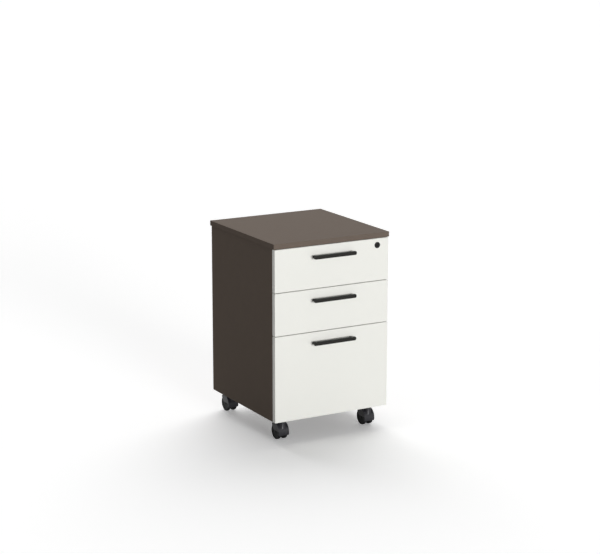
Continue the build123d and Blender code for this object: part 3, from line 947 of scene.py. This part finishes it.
def arc(radius, start, end, steps=40):
    """Points along an arc about the axle, from the back up and over to the front."""
    turns = [start + (end - start) * step / steps for step in range(steps + 1)]
    return [Vector((radius * math.cos(turn), radius * math.sin(turn))) for turn in turns]


def add_wall(shape, outline, near, far):
    """A wall across X with its outer edges rounded at the hood's two sides."""
    edges = add_strip(shape, outline, 0, near, far)
    rim = [edge for edge in edges if all(
        abs(vert.co.x) > hood_half - 1e-6 and vert.co.yz.length > rim_radius - 1e-5 for vert in edge.verts
    )]
    soften(shape, rim, hood_edge, 4)


def hood(place):
    """One hood about its axle's centre."""
    inner_rim = rim_radius - hood_wall
    boss_top = hood_high.z - wheel_radius
    fender = arc(rim_radius, hood_start, hood_end) + arc(inner_rim, hood_end, hood_start)
    shape = bmesh.new()
    add_wall(shape, fender, -hood_half, hood_half)
    made = to_object("hood", shape)
    cheeks = bmesh.new()
    back, front = inner_rim * cheek_back, -rim_radius * cheek_front
    lower = [Vector((front, cheek_drop)), Vector((back * 0.7, cheek_drop)), Vector((back, cheek_drop * 1.6))]
    for side in (-1, 1):
        outline = arc(rim_radius, hood_start, cheek_end) + lower
        add_wall(cheeks, outline, side * (hood_half - cheek_wall), side * hood_half)
    cut(made, to_object("cheeks", cheeks), "UNION")
    profile = [
        (0, swivel_rise), (swivel_radius, swivel_rise), (swivel_radius, boss_top - boss_edge),
        (swivel_radius - boss_edge, boss_top), (0, boss_top),
    ]
    boss = turned("boss", profile, Vector((0, -trail, 0)), along_z)
    profile = [(0, -hood_half), (inner_rim, -hood_half), (inner_rim, hood_half), (0, hood_half)]
    cut(boss, turned("wheel_space", profile, Vector(), across, 96))
    cut(made, boss, "UNION")
    shape = bmesh.new()
    fan = [Vector((0, 0))] + arc(rim_radius - hood_wall / 2, hood_start, hood_end)
    add_strip(shape, fan, 0, -web_half, web_half)
    web = to_object("web", shape)
    profile = [(0, -web_half), (hub_radius, -web_half), (hub_radius, web_half), (0, web_half)]
    cut(web, turned("hub", profile, Vector(), across), "UNION")
    cut(made, web, "UNION")
    bore(made, [Vector((-web_half, 0, 0))], axle_radius, web_half * 2, across)
    bore(made, [Vector((0, -trail, boss_top - pin_bite + overshoot))], kingpin_radius, pin_bite, along_z)
    made.data.transform(Matrix.Translation(place))
    return made


for name in caster_names:
    place = swivels[name] + Vector((0, trail, wheel_radius))
    fit(hood(place), hood_plastic, "hood_plastic", name + "_swivel", name + "_caster_hood")
    low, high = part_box(name + "_caster_pins")
    shape = bmesh.new()
    start = hood_high.z - pin_bite
    length = high.z - start
    profile = [
        (0, 0), (kingpin_radius, 0), (kingpin_radius, length - pin_edge),
        (kingpin_radius - pin_edge, length), (0, length),
    ]
    add_turning(shape, profile, swivels[name] + Vector((0, 0, start)), along_z)
    length = high.x - low.x
    profile = [
        (0, 0), (axle_radius - pin_edge, 0), (axle_radius, pin_edge), (axle_radius, length - pin_edge),
        (axle_radius - pin_edge, length), (0, length),
    ]
    add_turning(shape, profile, Vector((low.x, place.y, place.z)), across, 32)
    fit(to_object(name + "_swivel_pins", shape), steel_finish, "zinc_steel", name + "_swivel", name + "_caster_pins")

# ---- Wheels ----
# Black moulded nylon wheels, two to a caster, with rounded shoulders, a shallow dish and a
# raised cap in the middle. The axle ends in a blind bore.
wheel_skin = 0.0028
wheel_inset = cheek_wall + 0.0004
shoulder = 0.0026
wheel_plastic = coated("wheel_nylon", (24, 24, 25), roughness=0.5, scale=700.0, depth=0.00001, specular=0.08)
cap_and_dish = [
    (0, 0.0001), (0.0045, 0.0002), (0.0058, 0.0008), (0.0062, 0.0012), (0.0075, 0.0012),
    (0.0185, 0.0009), (0.02, 0.0001), (0.021, 0),
]
quarter = [math.radians(turn) for turn in (0, 22.5, 45, 67.5, 90)]
inside = axle_radius + running_gap
for name in caster_names:
    for side in ("left", "right"):
        low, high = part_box(f"{name}_caster_wheel_{side}")
        width = high.x - low.x - wheel_inset
        profile = list(cap_and_dish)
        for turn in quarter:
            profile.append((wheel_radius - shoulder * (1 - math.sin(turn)), shoulder * (1 - math.cos(turn))))
        for turn in quarter:
            profile.append((wheel_radius - shoulder * (1 - math.cos(turn)), width - shoulder * (1 - math.sin(turn))))
        profile += [(inside, width), (inside, wheel_skin - wheel_inset), (0, wheel_skin - wheel_inset)]
        place = (low + high) / 2
        place.x = low.x + wheel_inset if side == "left" else high.x - wheel_inset
        inward = (1 if side == "left" else -1, 0, 0)
        moulding = turned(f"{name}_wheel_{side}_moulding", profile, place, inward, 72)
        fit(moulding, wheel_plastic, "wheel_plastic", f"{name}_wheel_{side}", f"{name}_caster_wheel_{side}")

# ---- Studio floor ----
# A seamless pale sweep under the cabinet, whose edge lies far off. It stays white round the
# soft shadow, and throws less light back up than it shows.
floor_size = 160.0
floor_glow = 0.24
floor_bounce = 0.5
floor_finish = bpy.data.materials.new("studio_floor")
floor_finish.use_nodes = True
floor_tree = floor_finish.node_tree
floor_tree.nodes.clear()


def seen_directly(tree):
    """1 for rays from the camera, a mirror or clear glass, and 0 for light that bounces softly."""
    rays = ("Is Camera Ray", "Is Glossy Ray", "Is Transmission Ray")
    seen = [Flow(tree).node("LightPath", output=name) for name in rays]
    return seen[0].maths("MAXIMUM", seen[1]).maths("MAXIMUM", seen[2])


flow = Flow(floor_tree)
seen = seen_directly(floor_tree)
soft = flow.node("BsdfDiffuse", inputs={"Color": (floor_bounce,) * 3 + (1.0,)})
white = flow.node("BsdfDiffuse", inputs={"Color": (1.0,) * 4})
glow = flow.node("Emission", inputs={"Color": (1.0,) * 4, "Strength": floor_glow})
lit = flow.node("AddShader", inputs={0: white, 1: glow})
surface = flow.node("MixShader", inputs={0: seen, 1: soft, 2: lit})
flow.node("OutputMaterial", inputs={"Surface": surface}, output=None)
shape = bmesh.new()
bmesh.ops.create_grid(shape, x_segments=1, y_segments=1, size=floor_size / 2)
floor = to_object("floor", shape)
floor.data.materials.append(floor_finish)

# ---- Studio light ----
# An even white surround, a broad soft light from behind and above that throws the shadow
# forward, and a low one from the front that lights the drawer fronts.
surround = 0.16
world = bpy.data.worlds.new("surround")
scene.world = world
world.use_nodes = True
world_tree = world.node_tree
world_tree.nodes.clear()
flow = Flow(world_tree)
dim = flow.node("Background", inputs={"Color": (1.0,) * 4, "Strength": surround})
bright = flow.node("Background", inputs={"Color": (1.0,) * 4, "Strength": 1.0})
surface = flow.node("MixShader", inputs={0: seen_directly(world_tree), 1: dim, 2: bright})
flow.node("OutputWorld", inputs={"Surface": surface}, output=None)


def add_sun(name, travel, strength, spread):
    """A distant light that shines the way that travel points, with its spread in degrees."""
    light = bpy.data.lights.new(name, "SUN")
    light.energy = strength * math.pi
    light.angle = math.radians(spread)
    lamp = bpy.data.objects.new(name, light)
    lamp.rotation_euler = Vector(travel).to_track_quat("-Z", "Y").to_euler()
    scene.collection.objects.link(lamp)


add_sun("back_light", travel=(-0.34, -0.67, -0.66), strength=0.81, spread=68)
add_sun("front_light", travel=(0.0, 1.0, -0.05), strength=1.07, spread=24)

# ---- Camera ----
# A long lens on a stand nearly 6 m off, to the front left and well above the top. It looks
# down by 13 degrees, and has no shift and no depth of field.
camera_data = bpy.data.cameras.new("camera")
camera_data.lens = 111.2
camera_data.clip_end = 400
camera = bpy.data.objects.new("camera", camera_data)
camera.location = (-2.7386, -4.8946, 1.7588)
camera.rotation_euler = (math.pi / 2 - 0.2276, 0, -0.5101)
scene.collection.objects.link(camera)
scene.camera = camera
scene.view_settings.view_transform = "Standard"
